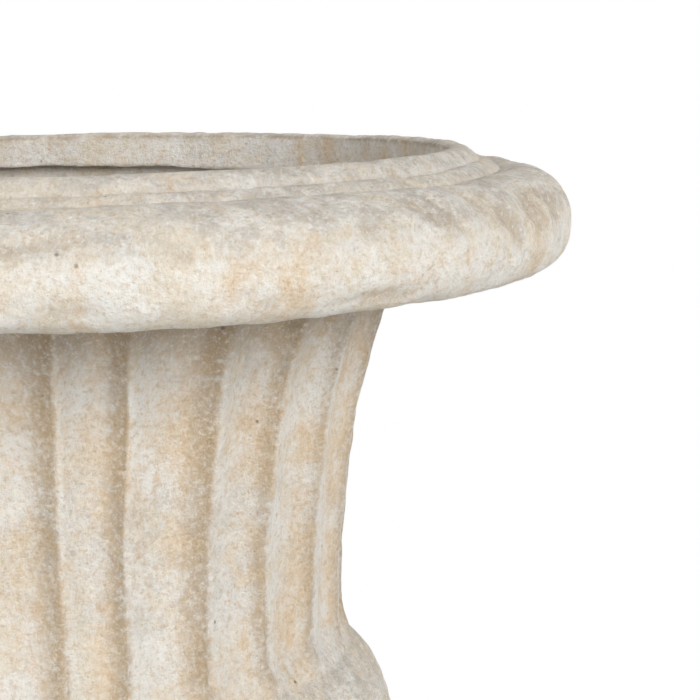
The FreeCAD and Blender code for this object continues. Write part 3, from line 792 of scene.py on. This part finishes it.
def body():
    """The fluted neck, the lobed belly and the inside of the bowl, down to the drain.

    Its top runs up into the rim's stone, where it isn't seen.
    """
    floor_round = BELLY[1] - FLOOR
    piece = turned("body_stone", section([
        (12, BOWL_BORE, 0),
        (9, BELLY[0] - BELLY[1], 0),
        (4.0, *BELLY, -1, BELLY[1]),
        (3.5, *SHOULDER, -1, upright_arc(BELLY, SHOULDER)),
        (3.4, *WAIST),
        (3.6, *NECK_TOP, 1, upright_arc(WAIST, NECK_TOP)),
        (3.3, *FLARE, 1, FLARE_ROUND),
        (12, FLARE[0] + 4, SOFFIT + 4),
        (12, 222, 474),
        (12, INSIDE_NECK[0], 476),
        (12, *INSIDE_NECK),
        (14, *INSIDE_WAIST, -1, upright_arc(INSIDE_NECK, INSIDE_WAIST)),
        (14, *INSIDE_BELLY, 1, upright_arc(INSIDE_WAIST, INSIDE_BELLY)),
        (14, INSIDE_BELLY[0] - floor_round, FLOOR, 1, floor_round),
        (14, DRAIN_SEAT[0], FLOOR - FLOOR_FALL),
        (8, *DRAIN_SEAT),
        (8, BOWL_BORE, DRAIN_SEAT[1]),
    ], SEAT), BODY_STEPS)
    carving = Carving(piece)
    carve_flutes(carving)
    wander_ridges(carving)
    flute_light_shade_and_dirt(carving)
    for azimuth, height, size, depth in NECK_PITS:
        radius = PIT_RADIUS + PIT_FLARE * max(0, height - PIT_FLARE_START)
        carving.chip(azimuth, radius, height, size, size, 0, depth)
    carving.stain(NECK_STAINS)
    weather(carving, waves=1.4, lumps=0.9, grit=0.45, seed=4)
    carving.store(*cad_box)
    return piece


def socle():
    """The round foot under the bowl: torus, ledge, scotia, waist and bead."""
    low, high = SOCLE_LOW.z / MM, SOCLE_HIGH.z / MM
    torus, bead = TORUS_RADIUS - TORUS_ROUND, BEAD_RADIUS - BEAD_ROUND
    level_arc = upright_arc(LEDGE[::-1], SCOTIA_TOP[::-1])
    piece = turned("socle_stone", section([
        (12, FOOT_BORE, low),
        (8, torus, low),
        (2.6, TORUS_RADIUS, low + TORUS_ROUND, -1, TORUS_ROUND),
        (2.6, torus, low + 2 * TORUS_ROUND, -1, TORUS_ROUND),
        (2.6, LEDGE[0], low + 2 * TORUS_ROUND),
        (2.6, LEDGE[0], low + LEDGE[1]),
        (2.6, SCOTIA_TOP[0], low + SCOTIA_TOP[1], 1, level_arc),
        (2.6, SCOTIA_TOP[0], high - 2 * BEAD_ROUND),
        (2.6, bead, high - 2 * BEAD_ROUND),
        (2.4, BEAD_RADIUS, high - BEAD_ROUND, -1, BEAD_ROUND),
        (2.4, bead, high, -1, BEAD_ROUND),
        (10, FOOT_BORE, high),
    ]), SOCLE_STEPS)
    carving = Carving(piece)
    weather(carving, waves=0.8, lumps=0.8, grit=0.3, seed=9)
    carving.store(SOCLE_LOW, SOCLE_HIGH)
    return piece


def cylinder(mesh, across, deep, radius, low, high):
    """A round cutter between two heights."""
    place = Matrix.Translation((across, deep, (low + high) / 2))
    bmesh.ops.create_cone(
        mesh, cap_ends=True, cap_tris=False, segments=72, radius1=radius, radius2=radius,
        depth=high - low, matrix=place)


def cut_away(piece, cutter):
    """Takes the cutter's solid out of a piece."""
    cut = piece.modifiers.new("cut", "BOOLEAN")
    cut.operation, cut.solver, cut.object = "DIFFERENCE", "EXACT", cutter
    seen = piece.evaluated_get(bpy.context.evaluated_depsgraph_get())
    left = bpy.data.meshes.new_from_object(seen)
    piece.modifiers.clear()
    piece.data = left
    bpy.data.objects.remove(cutter)


def hollow_plinth(piece):
    """The clamp recess, the drain bore and the four pad recesses in the underside."""
    low, past = PLINTH_LOW.z, 5 * MM
    recesses = bmesh.new()
    cylinder(recesses, 0, 0, CLAMP_RECESS[0], low - past, low + CLAMP_RECESS[1])
    for across, deep in itertools.product((-PAD_PLACE, PAD_PLACE), repeat=2):
        cylinder(recesses, across, deep, PAD_RECESS[0], low - past, low + PAD_RECESS[1])
    cut_away(piece, as_object("recess_cutter", recesses))
    drain = bmesh.new()
    cylinder(drain, 0, 0, FOOT_BORE * MM, low - past, PLINTH_HIGH.z + past)
    cut_away(piece, as_object("drain_cutter", drain))


def plinth():
    """The square slab with its edges knocked and rounded, hollowed underneath."""
    mesh = bmesh.new()
    bmesh.ops.create_cube(mesh, size=1)
    bmesh.ops.scale(mesh, vec=PLINTH_HIGH - PLINTH_LOW, verts=mesh.verts[:])
    bmesh.ops.translate(mesh, vec=(PLINTH_HIGH + PLINTH_LOW) / 2, verts=mesh.verts[:])
    bmesh.ops.bevel(
        mesh, geom=mesh.edges[:], offset=PLINTH_EDGE, affect="EDGES", segments=3, profile=0.5,
        material=-1)
    long_edges = [edge for edge in mesh.edges if edge.calc_length() > 100 * MM]
    bmesh.ops.subdivide_edges(mesh, edges=long_edges, cuts=110, use_grid_fill=True)
    upright_edges = [edge for edge in mesh.edges if 30 * MM < edge.calc_length() < 60 * MM]
    bmesh.ops.subdivide_edges(mesh, edges=upright_edges, cuts=14, use_grid_fill=True)
    bmesh.ops.recalc_face_normals(mesh, faces=mesh.faces[:])
    piece = as_object("plinth_stone", mesh)
    carving = Carving(piece)
    weather(carving, waves=1.0, lumps=0.9, grit=0.4, seed=13)
    carving.store(PLINTH_LOW, PLINTH_HIGH)
    hollow_plinth(piece)
    return piece


# ---------------------------------------------------------------------------
# Camera, light and floor
# ---------------------------------------------------------------------------

# What the lamps face, in metres, and how strongly the room fills the shadows.
LIT_POINT = Vector((0, 0, 0.5))
ROOM_FILL = 0.50

# The floor in metres: half its side, and from where to where it turns white round the urn.
FLOOR_REACH = 30
SHADOW_END, WHITE_START = 0.35, 0.95
FLOOR_COLOUR = (0.72, 0.72, 0.71)


def camera():
    """The photograph's viewpoint, close to the rim and looking at its right-hand end."""
    yaw, pitch = math.radians(CAMERA_YAW), math.radians(CAMERA_PITCH)
    roll = math.radians(CAMERA_ROLL)
    ahead = Vector((math.sin(yaw) * math.cos(pitch), math.cos(yaw) * math.cos(pitch),
                    -math.sin(pitch)))
    right = ahead.cross(Vector((0, 0, 1))).normalized()
    up = right.cross(ahead)
    rolled_right = right * math.cos(roll) - up * math.sin(roll)
    rolled_up = right * math.sin(roll) + up * math.cos(roll)
    turn = Matrix.Rotation(math.radians(CAMERA_AZIMUTH), 3, "Z")
    basis = turn @ Matrix((rolled_right, rolled_up, -ahead)).transposed()
    data = bpy.data.cameras.new("photo_camera")
    data.sensor_width = SENSOR_MM
    data.lens = CAMERA_FOCAL_PIXELS / PHOTO_PIXELS * SENSOR_MM
    data.clip_start = 0.05
    eye = bpy.data.objects.new("photo_camera", data)
    place = turn @ Vector((0, -CAMERA_DISTANCE, 0))
    place.z = SEAT + MOUTH_EDGE[1] * MM + CAMERA_ABOVE_MOUTH
    eye.matrix_world = Matrix.Translation(place) @ basis.to_4x4()
    bpy.context.scene.collection.objects.link(eye)
    bpy.context.scene.camera = eye


def lamp(name, place, size, power):
    """A soft box that faces the middle of the urn; metres and watts."""
    data = bpy.data.lights.new(name, "AREA")
    data.shape = "RECTANGLE"
    data.size, data.size_y = size
    data.energy = power
    light = bpy.data.objects.new(name, data)
    light.location = place
    direction = LIT_POINT - Vector(place)
    light.rotation_euler = direction.to_track_quat("-Z", "Y").to_euler()
    bpy.context.scene.collection.objects.link(light)


def lights():
    """A soft box in front, to the right, and weaker ones to the left and behind."""
    lamp("front_box", (2.25, -2.55, 1.85), (1.5, 1.5), 112)
    lamp("left_box", (-2.4, -2.5, 1.5), (2.0, 2.0), 72)
    lamp("back_box", (0.5, 3.2, 2.2), (2.5, 1.6), 30)


def world():
    """A room that is white to the camera and in reflections, and a soft fill on the stone."""
    studio = bpy.data.worlds.new("studio")
    studio.use_nodes = True
    nodes, links = studio.node_tree.nodes, studio.node_tree.links
    nodes.clear()
    rays = nodes.new("ShaderNodeLightPath")
    seen = rays.outputs["Is Camera Ray"]
    for kind in ("Is Glossy Ray", "Is Transmission Ray"):
        either = nodes.new("ShaderNodeMath")
        either.operation = "MAXIMUM"
        links.new(seen, either.inputs[0])
        links.new(rays.outputs[kind], either.inputs[1])
        seen = either.outputs["Value"]
    strength = nodes.new("ShaderNodeMapRange")
    strength.inputs["To Min"].default_value = ROOM_FILL
    strength.inputs["To Max"].default_value = 1.0
    links.new(seen, strength.inputs["Value"])
    background = nodes.new("ShaderNodeBackground")
    background.inputs["Color"].default_value = (1, 1, 1, 1)
    links.new(strength.outputs["Result"], background.inputs["Strength"])
    output = nodes.new("ShaderNodeOutputWorld")
    links.new(background.outputs["Background"], output.inputs["Surface"])
    bpy.context.scene.world = studio


def floor():
    """A pale floor that keeps the shadow near the urn and turns white further out."""
    mesh = bmesh.new()
    bmesh.ops.create_grid(mesh, x_segments=1, y_segments=1, size=FLOOR_REACH)
    ground = as_object("floor", mesh)
    make = Nodes("pale_floor")
    place = make.place()
    away = make.add("ShaderNodeVectorMath", {0: place}, operation="LENGTH").outputs["Value"]
    rays = make.add("ShaderNodeLightPath")
    outer = make.ramp(away, SHADOW_END, WHITE_START)
    white = make.times(outer, rays.outputs["Is Camera Ray"])
    shade = make.add("ShaderNodeBsdfDiffuse", {"Color": as_colour(FLOOR_COLOUR)})
    glow = make.add("ShaderNodeEmission", {"Color": (1, 1, 1, 1), "Strength": 1.0})
    blend = make.add("ShaderNodeMixShader", {0: white, 1: shade.outputs[0], 2: glow.outputs[0]})
    make.add("ShaderNodeOutputMaterial", {"Surface": blend.outputs[0]})
    dress(ground, make.material)


# ---------------------------------------------------------------------------
# The whole urn
# ---------------------------------------------------------------------------

def castings():
    """The three stone castings; rim and body are one casting, the bowl."""
    bowl_stone = stone("bowl_stone", grime=0.92, damp=0.85)
    foot_stone = stone("foot_stone", grime=0.75, damp=0.9)
    for piece, node, finish in ((rim(), "bowl", bowl_stone), (body(), "bowl", bowl_stone),
                                (socle(), "socle", foot_stone), (plinth(), "plinth", foot_stone)):
        dress(piece, finish)
        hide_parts(node)
        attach(piece, "urn")


def fittings():
    """Finishes of the small pieces that keep their CAD shape."""
    finishes = {
        "mortar": plain(
            "lime_mortar", (0.36, 0.32, 0.27), (0.46, 0.42, 0.36),
            roughness=0.9, metallic=0.0, scale=500, relief=0.5),
        "reinforcing_steel": plain(
            "rusted_hoop", (0.16, 0.08, 0.04), (0.26, 0.14, 0.08),
            roughness=0.8, metallic=0.6, scale=400, relief=0.3),
        "stainless_steel": plain(
            "stainless", (0.50, 0.50, 0.49), (0.62, 0.61, 0.59),
            roughness=0.34, metallic=1.0, scale=900, relief=0.03),
        "black_rubber": plain(
            "black_rubber", (0.018, 0.018, 0.018), (0.035, 0.033, 0.03),
            roughness=0.72, metallic=0.0, scale=700, relief=0.06),
        "plug_rubber": plain(
            "plug_rubber", (0.05, 0.045, 0.04), (0.085, 0.075, 0.065),
            roughness=0.6, metallic=0.0, scale=700, relief=0.06),
    }
    for row in frame["record"]["subparts"]:
        if row["material_slot"] in finishes:
            dress(frame["nodes"][row["node"]], finishes[row["material_slot"]])


castings()
fittings()
floor()
lights()
world()
camera()
bpy.context.scene.view_settings.view_transform = "Standard"
